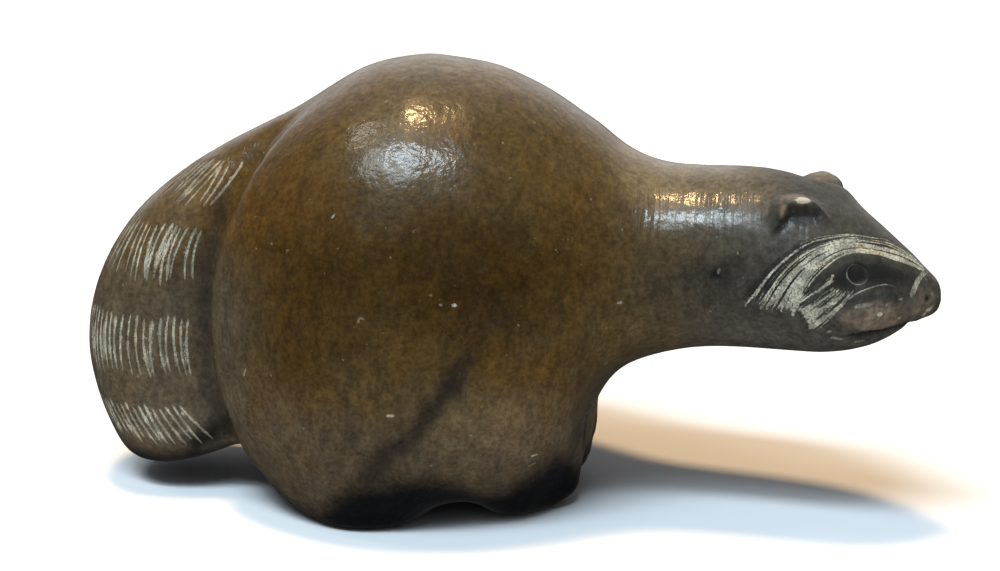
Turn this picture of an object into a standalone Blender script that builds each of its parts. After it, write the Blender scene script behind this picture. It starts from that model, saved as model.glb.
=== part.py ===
"""A raccoon carved from one block of soapstone: a small ornament that stands on its own four feet.

The animal faces +X, its right side is towards -Y and it stands on the plane z = 0. It is carved from
one stone, so the whole figure is one solid. The masses are a trunk that runs from the rump to the nose,
a heavy tail laid against the rump, four feet, a nose and two small ears. They are joined and remeshed
into one skin, its folds and hollows are carved, and it is sawn off flat under the feet.

Sizes are in millimetres here, and become metres where geometry is made.
"""

from collections import namedtuple
from math import cos, pi, radians, sin

import bmesh
import bpy
import numpy as np
from mathutils import Euler, Vector

MM = 0.001
NAME = "raccoon"
SLOT = "soapstone"

# --- Trunk: body, neck and head as one loft ---
# Each section is cut square to X. "waist" is the height of its widest line. It is elliptical above that
# line, and "lower" is its superellipse exponent below it. "turn" is how far it has swung to the animal's
# right. "low" is below the floor where a foot is, because the soles are sawn off at z = 0.
Section = namedtuple("Section", "x top low half waist lower turn")

SECTIONS = (
    Section(x=-43.6, top=31.0, low=21.5, half=4.5, waist=26.5, lower=2.0, turn=0.0),  # rump
    Section(x=-41.6, top=40.0, low=14.0, half=11.6, waist=27.0, lower=2.1, turn=0.0),
    Section(x=-37.5, top=49.4, low=6.6, half=17.8, waist=27.5, lower=2.6, turn=0.0),
    Section(x=-32.0, top=55.2, low=1.0, half=22.4, waist=28.0, lower=2.9, turn=0.0),
    Section(x=-25.0, top=60.0, low=-5.0, half=26.2, waist=29.0, lower=2.8, turn=0.0),
    Section(x=-18.0, top=63.6, low=-9.0, half=28.4, waist=30.0, lower=2.6, turn=0.0),  # hind feet
    Section(x=-12.5, top=64.7, low=-6.5, half=28.8, waist=31.0, lower=2.6, turn=0.0),
    Section(x=-7.5, top=64.6, low=0.6, half=28.2, waist=31.0, lower=3.0, turn=0.0),  # arch
    Section(x=-2.5, top=63.9, low=0.6, half=27.2, waist=31.0, lower=2.6, turn=0.0),
    Section(x=1.5, top=62.7, low=-3.5, half=25.8, waist=31.5, lower=2.2, turn=0.0),
    Section(x=5.0, top=61.2, low=-5.0, half=24.2, waist=32.0, lower=2.1, turn=0.0),  # fore feet
    Section(x=9.0, top=58.9, low=-2.0, half=21.8, waist=33.0, lower=2.0, turn=0.0),
    Section(x=12.5, top=56.6, low=6.0, half=19.4, waist=34.0, lower=2.0, turn=0.0),
    Section(x=15.0, top=54.9, low=15.0, half=17.8, waist=35.0, lower=2.0, turn=0.1),  # chest
    Section(x=18.5, top=52.2, low=20.0, half=15.8, waist=36.0, lower=2.0, turn=0.3),
    Section(x=23.0, top=50.4, low=22.2, half=14.4, waist=36.4, lower=2.0, turn=0.7),
    Section(x=30.0, top=50.1, low=24.0, half=13.6, waist=37.0, lower=2.0, turn=1.7),  # neck
    Section(x=38.0, top=50.3, low=24.5, half=13.2, waist=37.2, lower=2.0, turn=3.3),
    Section(x=43.0, top=49.5, low=24.8, half=12.8, waist=36.4, lower=2.1, turn=4.4),  # ears
    Section(x=48.0, top=47.4, low=25.2, half=12.0, waist=35.6, lower=2.2, turn=5.5),
    Section(x=52.0, top=45.5, low=26.3, half=10.6, waist=35.0, lower=2.2, turn=6.5),  # eyes
    Section(x=56.0, top=42.4, low=28.5, half=8.2, waist=34.6, lower=2.2, turn=7.5),  # muzzle
    Section(x=59.6, top=39.4, low=31.2, half=5.2, waist=34.8, lower=2.0, turn=8.4),
    Section(x=61.4, top=37.4, low=32.8, half=2.8, waist=34.8, lower=2.0, turn=8.8),
)
ELLIPSE = 2.0  # the superellipse exponent that makes a plain ellipse
SLICES = 320
RING_POINTS = 112

# --- Tail: a thick tube that leaves the top of the rump and curls down behind it ---
# Each knot is the middle of the tube (x, z) and its radius there.
TAIL_KNOTS = (
    (-18.0, 54.0, 8.0),
    (-28.2, 48.0, 8.7),
    (-37.9, 42.1, 9.4),
    (-44.4, 36.0, 10.6),
    (-48.9, 29.0, 11.4),
    (-50.8, 21.0, 11.6),
    (-49.2, 12.6, 11.2),
    (-44.6, 3.6, 10.8),
)
TAIL_WIDEN = 1.08
TAIL_FULLNESS = 3.4  # superellipse exponent of the side towards the rump
TAIL_TIP = 8.5  # length over which it closes
TAIL_TIP_RISE = 3.0  # how late the closing starts
TAIL_TIP_BLUNTNESS = 2.2
TAIL_HEEL_BLUNTNESS = 7.0  # the same on the side towards the rump, where the end is cut nearly square
TAIL_LEAST = 0.02  # share of the radius left at the very tip
TAIL_SLANT = 0.22  # how far the end leans, so that it is lower on the side towards the rump
TAIL_RINGS = 90
TAIL_POINTS = 60
TANGENT_STEP = 0.1

# --- Added masses: (centre, radii) of ellipsoids on the animal's right, mirrored to its left ---
FORE_PAW = ((5.1, -6.3, 2.0), (8.4, 4.9, 6.3))
SHIN = ((8.2, -6.4, 11.5), (6.2, 5.0, 12.0))
NOSE = ((61.0, -8.8, 34.8), (2.3, 2.5, 2.9))

# --- Ears: small round nubs on the turned head ---
HEAD_TURN = 11.0
EAR_MIDDLE = (44.4, -4.8, 45.7)
EAR_SIDE = 8.0
EAR_RADII = (3.7, 2.8, 3.3)

# --- Folds carved on the animal's right and mirrored to its left: (x, y, z, share of the full depth) ---
Fold = namedtuple("Fold", "path width depth")
FOLDS = (
    # between the haunch and the foreleg
    Fold(
        path=(
            (7.5, -24.5, 37.2, 0.0),
            (3.6, -25.5, 33.0, 0.4),
            (-0.5, -26.0, 28.8, 0.7),
            (-5.2, -25.5, 20.5, 1.0),
            (-9.5, -25.0, 14.4, 1.0),
            (-14.0, -24.0, 8.5, 0.5),
        ),
        width=2.4,
        depth=0.9,
    ),
    # behind the knee
    Fold(
        path=(
            (-19.1, -28.0, 24.7, 0.1),
            (-17.4, -27.0, 18.8, 0.6),
            (-15.8, -25.5, 12.5, 1.0),
            (-14.0, -24.0, 8.0, 0.5),
        ),
        width=1.8,
        depth=0.7,
    ),
    # between the tail and the rump
    Fold(
        path=(
            (-25.8, -3.5, 59.0, 0.0),
            (-28.6, -5.0, 56.8, 0.5),
            (-31.8, -6.5, 55.0, 0.9),
            (-35.9, -9.5, 50.4, 1.0),
            (-37.4, -11.0, 45.2, 0.9),
            (-39.7, -12.0, 38.0, 0.7),
            (-41.2, -12.5, 30.6, 0.5),
            (-40.0, -13.0, 18.8, 0.5),
            (-37.2, -13.0, 11.2, 0.3),
        ),
        width=1.6,
        depth=1.3,
    ),
)
FOLD_REACH = 12.0  # a path acts only on skin this near, so it can't reach the far side

# --- The hollow under the belly, between the left and right feet ---
# Stations are (x, half width, height); in front it narrows to the gap between the fore feet.
BELLY = (
    (-34.0, 5.0, 1.0),
    (-28.0, 6.0, 2.4),
    (-20.0, 6.0, 3.6),
    (-8.0, 6.0, 4.4),
    (1.0, 4.6, 4.6),
    (6.0, 2.4, 5.4),
    (16.0, 2.0, 9.0),
)
UNDERSIDE = 12.0  # only skin below this height is lifted

# --- The gap between the fore legs, cut from the front ---
GAP_HALF = 1.1
GAP_DEPTH = 5.0
GAP_TOP = 17.0
GAP_FADE = 6.0  # height over which it runs out
GAP_START = 6.0  # the x that it starts in front of
GAP_FACING = 2.0  # how quickly it takes hold as the skin turns forward

# --- Stone and skin ---
STONE_COLOUR = (0.105, 0.072, 0.031, 1.0)
STONE_ROUGHNESS = 0.32
VOXEL = 0.7
RUBBING = 8
POLISHING = 3
TRIANGLES = 9400
ELLIPSOID_SEGMENTS = 40
ELLIPSOID_RINGS = 24
SAW_TOLERANCE = 1e-7  # metres


def spline(knots, along):
    """A natural cubic spline through rows of knots, which lie at the distances "along" it."""
    gaps = np.diff(along)
    slopes = np.diff(knots, axis=0) / gaps[:, None]
    system = np.eye(len(knots))
    bends = np.zeros_like(knots)
    for i in range(1, len(knots) - 1):
        system[i, i - 1 : i + 2] = gaps[i - 1], 2 * (gaps[i - 1] + gaps[i]), gaps[i]
        bends[i] = 6 * (slopes[i] - slopes[i - 1])
    bends = np.linalg.solve(system, bends)

    def at(t):
        i = int(np.clip(np.searchsorted(along, t) - 1, 0, len(gaps) - 1))
        left, right = along[i + 1] - t, t - along[i]
        straight = (knots[i] * left + knots[i + 1] * right) / gaps[i]
        near = (left**3 / gaps[i] - gaps[i] * left) * bends[i]
        far = (right**3 / gaps[i] - gaps[i] * right) * bends[i + 1]
        return straight + (near + far) / 6

    return at


def distances(knots, columns):
    """Distance along a run of knots, measured in the given columns."""
    steps = np.linalg.norm(np.diff(knots[:, columns], axis=0), axis=1)
    return np.concatenate([[0.0], np.cumsum(steps)])


def trunk_sections():
    table = np.array(SECTIONS)
    along = distances(table, [0, 1, 2, 3])
    section_at = spline(table, along)
    return [Section(*section_at(t)) for t in np.linspace(0, along[-1], SLICES)]


def ring(section):
    """Points round one section."""
    points = []
    for k in range(RING_POINTS):
        a = 2 * pi * k / RING_POINTS
        c, s = cos(a), sin(a)
        power = 2 / (ELLIPSE if s >= 0 else section.lower)
        reach = section.top - section.waist if s >= 0 else section.waist - section.low
        y = section.half * abs(c) ** power * (1 if c >= 0 else -1)
        z = section.waist + reach * abs(s) ** power * (1 if s >= 0 else -1)
        points.append(Vector((section.x, y - section.turn, z)))
    return points


def loft(name, rings):
    """One closed skin through rings of equal point count, with a fan at each end."""
    mesh = bmesh.new()
    rows = [[mesh.verts.new(p * MM) for p in points] for points in rings]
    count = len(rows[0])
    for near, far in zip(rows, rows[1:]):
        for k in range(count):
            mesh.faces.new((near[k], near[(k + 1) % count], far[(k + 1) % count], far[k]))
    for row in (rows[0], rows[-1]):
        pole = mesh.verts.new(sum((v.co for v in row), Vector()) / count)
        for k in range(count):
            mesh.faces.new((pole, row[k], row[(k + 1) % count]))
    bmesh.ops.recalc_face_normals(mesh, faces=mesh.faces)
    return finished(name, mesh)


def finished(name, mesh):
    data = bpy.data.meshes.new(name)
    mesh.to_mesh(data)
    mesh.free()
    return data


def trunk():
    return loft("trunk", [ring(s) for s in trunk_sections()])


def tail():
    """A tube behind the rump: round outside, fuller towards the rump, and cut at a slant at its tip."""
    knots = np.array(TAIL_KNOTS)
    along = distances(knots, [0, 1])
    knot_at = spline(knots, along)
    length = along[-1]
    across = Vector((0, 1, 0))
    rings = []
    for t in np.linspace(0, length, TAIL_RINGS):
        x, z, radius = knot_at(t)
        ahead = knot_at(t + TANGENT_STEP) - knot_at(t - TANGENT_STEP)
        onward = Vector((ahead[0], 0, ahead[1])).normalized()
        inward = onward.cross(across)
        closing = max(0.0, 1 - (length - t) / TAIL_TIP)
        open_share = max(0.0, 1 - closing**TAIL_TIP_RISE)
        tip = max(TAIL_LEAST, open_share ** (1 / TAIL_TIP_BLUNTNESS))
        heel = max(TAIL_LEAST, open_share ** (1 / TAIL_HEEL_BLUNTNESS))
        points = []
        for k in range(TAIL_POINTS):
            a = 2 * pi * k / TAIL_POINTS
            power = 2 / (TAIL_FULLNESS if sin(a) > 0 else ELLIPSE)
            side = tip * TAIL_WIDEN * abs(cos(a)) ** power * (1 if cos(a) > 0 else -1)
            depth = abs(sin(a)) ** power * (heel if sin(a) > 0 else -tip)
            lean = onward * TAIL_SLANT * closing * depth
            points.append(Vector((x, 0, z)) + (across * side + inward * depth + lean) * radius)
        rings.append(points)
    return loft("tail", rings)


def ellipsoid(name, centre, radii, turn=0.0):
    mesh = bmesh.new()
    bmesh.ops.create_uvsphere(
        mesh, u_segments=ELLIPSOID_SEGMENTS, v_segments=ELLIPSOID_RINGS, radius=1.0
    )
    bmesh.ops.scale(mesh, vec=Vector(radii) * MM, verts=mesh.verts)
    bmesh.ops.rotate(mesh, matrix=Euler((0, 0, radians(turn))).to_matrix(), verts=mesh.verts)
    bmesh.ops.translate(mesh, vec=Vector(centre) * MM, verts=mesh.verts)
    return finished(name, mesh)


def pair(name, centre, radii):
    """An ellipsoid on the animal's right and its mirror image on the left."""
    x, y, z = centre
    return [ellipsoid(name, (x, y, z), radii), ellipsoid(name, (x, -y, z), radii)]


def ears():
    parts = []
    for side in (-1, 1):
        x = EAR_MIDDLE[0] + side * EAR_SIDE * sin(radians(HEAD_TURN))
        y = EAR_MIDDLE[1] + side * EAR_SIDE * cos(radians(HEAD_TURN))
        parts.append(ellipsoid("ear", (x, y, EAR_MIDDLE[2]), EAR_RADII, -HEAD_TURN))
    return parts


def joined(parts):
    mesh = bmesh.new()
    for data in parts:
        mesh.from_mesh(data)
    return finished(NAME, mesh)


def apply_modifiers(obj):
    graph = bpy.context.evaluated_depsgraph_get()
    obj.data = bpy.data.meshes.new_from_object(obj.evaluated_get(graph))
    obj.modifiers.clear()


def one_skin(obj):
    """Merges the overlapping masses into one skin and rubs it smooth."""
    remesh = obj.modifiers.new("one skin", "REMESH")
    remesh.mode = "VOXEL"
    remesh.voxel_size = VOXEL * MM
    rub_down(obj, RUBBING)


def rub_down(obj, times):
    smooth = obj.modifiers.new("rub down", "SMOOTH")
    smooth.iterations = times
    apply_modifiers(obj)


def carve_fold(points, normals, path, fold):
    """Sinks a soft valley along a path that lies on the skin, or close to it."""
    nearest = np.full(len(points), np.inf)
    share = np.zeros(len(points))
    for start, end in zip(path, path[1:]):
        run = end[:3] - start[:3]
        t = np.clip((points - start[:3]) @ run / (run @ run), 0, 1)
        gap = points - start[:3] - t[:, None] * run
        far = np.linalg.norm(gap, axis=1) > FOLD_REACH
        gap -= normals * np.sum(gap * normals, axis=1)[:, None]
        distance = np.where(far, np.inf, np.linalg.norm(gap, axis=1))
        closer = distance < nearest
        nearest[closer] = distance[closer]
        share[closer] = (start[3] + t * (end[3] - start[3]))[closer]
    sink = fold.depth * share * np.exp(-((nearest / fold.width) ** 2))
    return points - normals * sink[:, None]


def carve_folds(points, normals):
    for fold in FOLDS:
        for side in (1, -1):
            path = np.array(fold.path) * (1, side, 1, 1)
            points = carve_fold(points, normals, path, fold)
    return points


def carve_belly(points):
    """Lifts the underside between the left and right feet."""
    stations = np.array(BELLY)
    half = np.interp(points[:, 0], stations[:, 0], stations[:, 1])
    height = np.interp(points[:, 0], stations[:, 0], stations[:, 2])
    roof = height * (1 - (points[:, 1] / half) ** 2)
    carved = points.copy()
    under = points[:, 2] < UNDERSIDE
    carved[under, 2] = np.maximum(points[under, 2], roof[under])
    return carved


def carve_breast(points, normals):
    """Cuts the gap between the fore legs."""
    forward = np.clip(normals[:, 0] * GAP_FACING, 0, 1) * (points[:, 0] > GAP_START)
    fade = np.clip((GAP_TOP - points[:, 2]) / GAP_FADE, 0, 1)
    carved = points.copy()
    carved[:, 0] -= GAP_DEPTH * forward * fade * np.exp(-((points[:, 1] / GAP_HALF) ** 2))
    return carved


def carve(obj):
    count = len(obj.data.vertices)
    flat = np.empty(count * 3)
    obj.data.vertices.foreach_get("co", flat)
    points = flat.reshape(-1, 3) / MM
    obj.data.vertices.foreach_get("normal", flat)
    normals = flat.reshape(-1, 3).copy()
    points = carve_folds(points, normals)
    points = carve_breast(points, normals)
    points = carve_belly(points)
    obj.data.vertices.foreach_set("co", (points * MM).ravel())


def facet(obj):
    """Brings the skin down to a modest number of triangles."""
    faces = obj.modifiers.new("facets", "DECIMATE")
    faces.ratio = TRIANGLES / (2 * len(obj.data.polygons))
    apply_modifiers(obj)


def saw_soles(obj):
    """Cuts everything off flat at the floor."""
    mesh = bmesh.new()
    mesh.from_mesh(obj.data)
    cut = bmesh.ops.bisect_plane(
        mesh,
        geom=mesh.verts[:] + mesh.edges[:] + mesh.faces[:],
        plane_co=(0, 0, 0),
        plane_no=(0, 0, -1),
        clear_outer=True,
        dist=1e-7,
    )
    rim = [e for e in cut["geom_cut"] if isinstance(e, bmesh.types.BMEdge)]
    bmesh.ops.holes_fill(mesh, edges=rim)
    bmesh.ops.recalc_face_normals(mesh, faces=mesh.faces)
    mesh.to_mesh(obj.data)
    mesh.free()


def soapstone():
    """Polished brown soapstone."""
    material = bpy.data.materials.new(SLOT)
    material.use_nodes = True
    shader = material.node_tree.nodes["Principled BSDF"]
    shader.inputs["Base Color"].default_value = STONE_COLOUR
    shader.inputs["Roughness"].default_value = STONE_ROUGHNESS
    shader.inputs["Metallic"].default_value = 0.0
    return material


def centre(obj):
    """Moves the figure so that the middle of its box's underside is the origin."""
    points = np.array([vertex.co[:] for vertex in obj.data.vertices])
    low, high = points.min(axis=0), points.max(axis=0)
    middle = Vector(((low[0] + high[0]) / 2, (low[1] + high[1]) / 2, low[2]))
    for vertex in obj.data.vertices:
        vertex.co -= middle


def main():
    for obj in list(bpy.data.objects):
        bpy.data.objects.remove(obj)
    collection = bpy.data.collections.new(NAME)
    bpy.context.scene.collection.children.link(collection)
    masses = [trunk(), tail(), ellipsoid("nose", *NOSE)]
    masses += pair("fore paw", *FORE_PAW) + pair("shin", *SHIN) + ears()
    obj = bpy.data.objects.new(NAME, joined(masses))
    collection.objects.link(obj)
    one_skin(obj)
    carve(obj)
    rub_down(obj, POLISHING)
    facet(obj)
    saw_soles(obj)
    centre(obj)
    obj.data.materials.append(soapstone())
    obj.data.shade_smooth()


main()
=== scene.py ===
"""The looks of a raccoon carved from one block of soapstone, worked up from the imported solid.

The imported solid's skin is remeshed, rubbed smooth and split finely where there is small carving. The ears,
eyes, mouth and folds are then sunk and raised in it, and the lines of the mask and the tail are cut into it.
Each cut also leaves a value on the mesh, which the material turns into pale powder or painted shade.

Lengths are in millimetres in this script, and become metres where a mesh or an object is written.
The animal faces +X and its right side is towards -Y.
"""

from collections import namedtuple
from functools import partialmethod, reduce
from math import cos, pi, radians, sin, tan

import bmesh
import bpy
import numpy as np
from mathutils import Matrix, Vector, noise
from mathutils.bvhtree import BVHTree
from mathutils.kdtree import KDTree


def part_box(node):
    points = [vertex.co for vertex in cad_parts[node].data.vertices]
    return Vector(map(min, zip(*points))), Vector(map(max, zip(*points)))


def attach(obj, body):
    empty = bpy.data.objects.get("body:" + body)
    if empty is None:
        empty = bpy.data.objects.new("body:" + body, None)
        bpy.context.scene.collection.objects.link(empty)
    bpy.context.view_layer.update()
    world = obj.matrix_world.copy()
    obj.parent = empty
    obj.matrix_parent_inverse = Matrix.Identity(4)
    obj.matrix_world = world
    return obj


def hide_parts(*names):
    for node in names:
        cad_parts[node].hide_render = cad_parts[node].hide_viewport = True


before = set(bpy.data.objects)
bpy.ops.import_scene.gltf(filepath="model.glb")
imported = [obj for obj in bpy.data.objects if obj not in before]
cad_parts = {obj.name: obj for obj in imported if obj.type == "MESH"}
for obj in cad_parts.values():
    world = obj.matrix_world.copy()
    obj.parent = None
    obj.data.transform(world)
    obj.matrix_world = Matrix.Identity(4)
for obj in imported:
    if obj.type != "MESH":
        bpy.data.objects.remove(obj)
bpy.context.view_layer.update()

MM = 0.001
NODE = "raccoon"
SLOT = "soapstone"
LOW, HIGH = (np.array(corner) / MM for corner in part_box(NODE))
REAR, NOSE_TIP = LOW[0], HIGH[0]

# --- The skin ---
SKIN_VOXEL = 0.95
BODY_EDGE = 2 * SKIN_VOXEL
SKIN_ROUNDS = 26
RUB, UNRUB = 0.5, 0.52  # a round of smoothing, then a slightly stronger one outwards, keeps the volume
SMALL_FORM_SHARE = 0.25  # how much of the smoothing reaches the ears and nose
HEAD_START, HEAD_FADE = NOSE_TIP - 31, 6
HEAD_EDGE = 0.48
EAR_EDGE = 0.28
LINE_EDGE = 0.21
LINE_REACH = 0.4
SPLITS, TOO_LONG = 6, 1.35  # rounds of splitting the edges that are this many times as long as wanted
RELAX_ROUNDS = 3

# --- The turned head: from here forward its middle swings to the right ---
HEAD_TURN_START, HEAD_TURN_RATE, HEAD_TURN_OFFSET = 32.7, 0.2255, 1.7

# --- Forms of the head. Places are distances behind the nose tip, across, and above the floor ---
Push = namedtuple("Push", "place size move")
HEAD_PUSHES = (
    Push((1.6, -10, 32.6), (3.4, 4.6, 2.6), (0.5, 0, -0.7)),  # the nose hangs over the mouth
    Push((8.5, -12, 29.5), (6.5, 6.5, 3), (0, 0, -0.5)),  # the chin
    Push((14.2, -1.5, 46), (2.9, 3.6, 2.4), (0.3, 0, 1.3)),  # the left ear runs down into the forehead
    Push((17, -4, 47.5), (3.4, 2.6, 2), (0, 0, 0.8)),  # and into the crown
)
SIDE_PUSHES = (  # ahead of the rear, on both sides
    Push((57, 18, 3.5), (6.5, 8, 3.5), (0, 0, -0.8)),  # the belly comes low between the feet
    Push((75.5, 8, 0), (3.5, 6.5, 2), (-2, 0, 0.6)),  # the toes of the fore feet are rounded
)
FORELEG_PUSH = Push((77, -8, 9), (3, 3.2, 7), (-0.8, 0, 0))  # the right foreleg stands further back
EAR_SEAT = (19.5, -12.3, 46.6)
EAR_STAGGER = 3.6  # the left ear sits this much further forward
EAR_REACH = 5.6
EAR_RING = (4.7, 7.5)  # the head's skin between these distances shows where it runs under the ear
EAR_WALL = (  # the foot of its rim, forward and up from the seat
    (-3.2, -4.4), (-2.85, -3.3), (-2.5, -2.3), (-2.25, -1.5), (-1.75, -0.95), (-0.8, -0.75), (0.3, -0.65),
    (1.5, -0.65), (2.4, -0.8), (3, -1.2),
)
EAR_OPEN_SIDE = ((4.8, -1.8), (4.8, -5.6), (-3.4, -5.6))
EAR_WALL_SLOPE, EAR_OPEN_SLOPE = 0.5, 1.4
EAR_HOLLOW, EAR_HOLLOW_SHADE, EAR_HOLLOW_SPREAD = 1.1, 0.3, 0.9
EAR_RIM, EAR_RIM_WIDTH, EAR_RIM_PLACE = 0.3, 0.5, 0.5
EYE = (11.7, -16.4, 38.9)
EYE_RING, EYE_RING_WIDTH, EYE_RING_DEPTH = 1.1, 0.35, 0.2
EYE_SCRATCH = 1.52
EYE_PUPIL, EYE_PUPIL_DEPTH = 0.5, 0.2
SOCKET, SOCKET_DEPTH = 2.7, 0.3
PAD, PAD_SIZE, PAD_HEIGHT = (9, -15.9, 32.6), (5, 3.2, 1.3), 0.3
NOSTRIL, NOSTRIL_SIZE, NOSTRIL_DEPTH = (2, -11.8, 34.6), 0.5, 0.35
MOUTH = (
    (12, -15.6, 30.2), (9.9, -15.5, 30.6), (7.2, -14.4, 30.7), (5.6, -13.4, 30.9), (4.2, -12, 31),
    (3.7, -9.6, 31.2),
)
MOUTH_POINTS, MOUTH_DEPTH, MOUTH_SHADE, LIP, LIP_EDGE = 70, 0.5, 0.9, 1.1, 0.4

# --- Where the head is rubbed brown or chipped pale, and where painted light lies on the ear's rims: behind the nose tip, and from the ear's seat ---
Patch = namedtuple("Patch", "place size share")
WORN = (
    Patch((9, -15.9, 33), (5.5, 3.5, 2.2), 1),  # the lip
    Patch((3, -11.5, 34), (3.5, 4, 3), 0.7),  # the nose
)
EAR_WORN_AND_LIT = (
    Patch((-0.4, 0, 1.9), (3.2, 2.6, 1.2), 0.8),  # its top
    Patch((-2.6, -1.8, 0.3), (0.8, 2.5, 1.3), 0.7),  # its rear rim, painted light on its lit edge
)
PALE = (
    Patch((2.2, -10.9, 32.9), (1.1, 0.9, 0.6), 0.9),  # under the nose
    Patch((8.6, -16.2, 33.3), (0.5, 0.5, 0.35), 0.8),  # on the lip
)
EAR_HIGHLIGHT = (
    Patch((0.1, -1.8, 1.7), (1.15, 1.3, 0.5), 1),  # a painted highlight on its upper rim
)

# --- Grooves and darkened places: path with shares of the depth, width, depth, darkness and the dark's width. The darkness is painted shade in the folds, creases and hollows, and the dark round the eye ---
Groove = namedtuple("Groove", "path width depth shade shade_width")
GROOVE_POINTS = 90
BODY_GROOVES = (
    # the front of the thigh, with painted shade along the fold
    Groove(((70.9, -21.7, 37.6, 0), (69, -23, 35.3, 0.3), (63.7, -25.3, 30.1, 0.6), (61.3, -26, 26.6, 0.9),
            (57.9, -26.3, 21.3, 1), (53.8, -26.3, 15.7, 1), (51, -26.6, 13.8, 1), (48.9, -26.1, 11.6, 1),
            (48, -25.6, 9.8, 1)), 1.6, 0.35, 0.6, 2.3),
    # the back of the thigh, with painted shade along the fold
    Groove(((44.7, -28.4, 25.5, 0.2), (44.8, -28, 21.5, 0.6), (44.9, -27.4, 17, 0.8), (45.7, -27, 14.2, 0.8),
            (47.2, -26.6, 12.3, 1), (48, -26.1, 10.6, 1)), 1.2, 0.22, 0.45, 1.5),
    # between the forelegs, with painted shade in the crease
    Groove(((76.4, -7, 15.5, 0.3), (76.2, -6.4, 12, 1), (76, -6, 8, 1), (75.5, -5.5, 3, 1)),
           0.8, 0.3, 0.7, 0.8),
    # painted shade below the tail's last band, where the tail turns under
    Groove(((17.5, -10.9, 7.2, 0.6), (19.2, -10.9, 8.7, 1), (21.4, -10.6, 10.2, 1), (24.3, -12.6, 13, 0.8)),
           2, 0, 0.75, 2.4),
    # the crease between the tail and the rump, with painted shade along it
    Groove(((24.8, -6.7, 50.1, 0.3), (23.8, -9.4, 44.8, 0.9), (22.1, -10.6, 39.1, 1), (21.2, -11.5, 31.9, 1),
            (20.8, -11.6, 24.3, 0.9), (21.4, -10.9, 16.5, 0.9), (23.2, -9.8, 10, 1)), 1.5, 0.3, 0.6, 2.2),
)
EAR_GROOVES = (
    # behind the ear, with painted shade in the groove
    Groove(((22, -14.5, 46.4, 0.3), (22.4, -14.7, 45.3, 1), (22.8, -14.9, 44.2, 1), (23.2, -15.2, 43.2, 0.4)),
           0.6, 0.25, 0.6, 0.8),
)
FACE_GROOVES = (
    # the dark round the eye
    Groove(((15.9, -17.2, 37.2, 0.4), (13.7, -17, 38.2, 0.9), (11.4, -16.3, 38.9, 1), (7.7, -15, 38.7, 0.9),
            (4.7, -13.3, 37.6, 0.6)), 2.2, 0, 0.95, 2),
    # along the top of the lip, with painted shade in the groove
    Groove(((11.5, -17.1, 34.1, 0.3), (8.8, -16.4, 34.4, 1), (6.9, -15.5, 34, 0.8), (5.3, -14.6, 33.4, 0.6)),
           0.28, 0.16, 0.5, 0.35),
    # the dark at the neck, round the pit
    Groove(((31, -15.5, 37.2, 0.6), (29.5, -15.6, 38.5, 0.6), (27.5, -15.8, 41, 0.3)), 2.6, 0, 0.75, 2.6),
)

# --- The mask: two guides bound the long scratched lines, which start on the cheek and end at the nose ---
BROW_OUTER = (
    (27.8, -15.5, 33.9), (23.6, -16.4, 39.7), (19, -15.5, 43), (13.5, -13.6, 43.8), (10, -12.2, 43.2),
    (6.9, -9.8, 41.9), (3, -8.5, 38.9), (1.9, -9.1, 37.8),
)
BROW_INNER = (
    (19.5, -16.9, 33.2), (18.4, -17.2, 36.6), (16.4, -16.9, 39.3), (13.4, -15.6, 41.3), (9.6, -14.2, 41.2),
    (6.5, -12.8, 40), (3.5, -10.9, 38.3), (2.4, -10, 37.9),
)
Stroke = namedtuple("Stroke", "share start end width")  # share of the way to the inner guide
BROW = [Stroke(*row) for row in (
    (0.01, 0, 0.12, 0.7), (0.05, 0.05, 0.27, 0.6), (0.12, 0.01, 0.33, 0.7), (0.23, 0.02, 0.37, 0.75),
    (0.32, 0.05, 0.4, 0.65), (0.4, 0.03, 0.56, 0.75), (0.48, 0.05, 0.97, 0.9), (0.56, 0.02, 0.6, 0.95),
    (0.64, 0.04, 0.98, 1), (0.72, 0.02, 0.75, 1), (0.8, 0.01, 1, 0.95), (0.88, 0.04, 0.6, 0.9),
    (0.97, 0.08, 1, 0.8), (0.03, 0.35, 0.98, 1), (0.12, 0.33, 0.99, 1.1), (0.22, 0.34, 0.47, 0.7),
    (0.33, 0.5, 0.96, 0.9), (0.72, 0.78, 0.97, 0.8), (0.22, 0.62, 0.93, 0.7),
)]
BAND_MARGIN, BAND_LANES, BAND_REACH = 0.1, 90, 0.5
MASK_POINTS, CHEEK_POINTS = 150, 40
BROW_WANDER, BROW_WANDERS = 0.012, 8
BROW_HALVES = (0.08, 0.22)
BROW_PITCH = 0.031  # a stroke of width 1 reaches this share of the space between the guides to each side
CHEEK_TOPS = (
    (16.6, -17.2, 38.1), (15.3, -17.2, 38), (15.1, -17.4, 36.6), (14.5, -17.4, 36), (13.3, -17.3, 36),
    (12.6, -17.3, 35.7),
)
CHEEK_ENDS = (
    (19.5, -17.1, 35), (19.4, -17.1, 34.4), (18.5, -17, 33.6), (17.8, -16.9, 32.8), (17.4, -16.5, 31.5),
    (16.5, -16.5, 31.1),
)
CHEEK_LINES = 10
CHEEK_STARTS, CHEEK_STOPS, CHEEK_HALVES = (-0.05, 0.2), (0.92, 1.15), (0.5, 0.8)
CHEEK_ABOVE, CHEEK_LONGER = 0.1, 1.3  # the cheek's powder starts above its lines and runs past them
RING_POINTS, RING_CHALK, RING_CHALK_SWING, RING_CHALK_TURN = 50, 0.2, 0.14, 4
UNDER_EYE = (
    (16.5, -16.5, 31.1), (14.4, -17.2, 33.8), (12.6, -17.3, 35.7), (11.1, -16.9, 36.6), (8.7, -15.9, 37.3),
    (7.3, -15.3, 37.2), (6.2, -14.9, 36.7),
)
BRIDGE = ((1.9, -9.1, 37.8), (3, -12, 37.3), (3.5, -13.1, 36.5), (3.9, -13.7, 35.6), (4.4, -14.1, 35.2))
BRIDGE_OFFSETS = (0, 0.45, 0.85)
UNDER_EYE_POINTS, UNDER_EYE_CHALK, BRIDGE_CHALK = 60, (1, 0.4), (0.5, 1)

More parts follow.
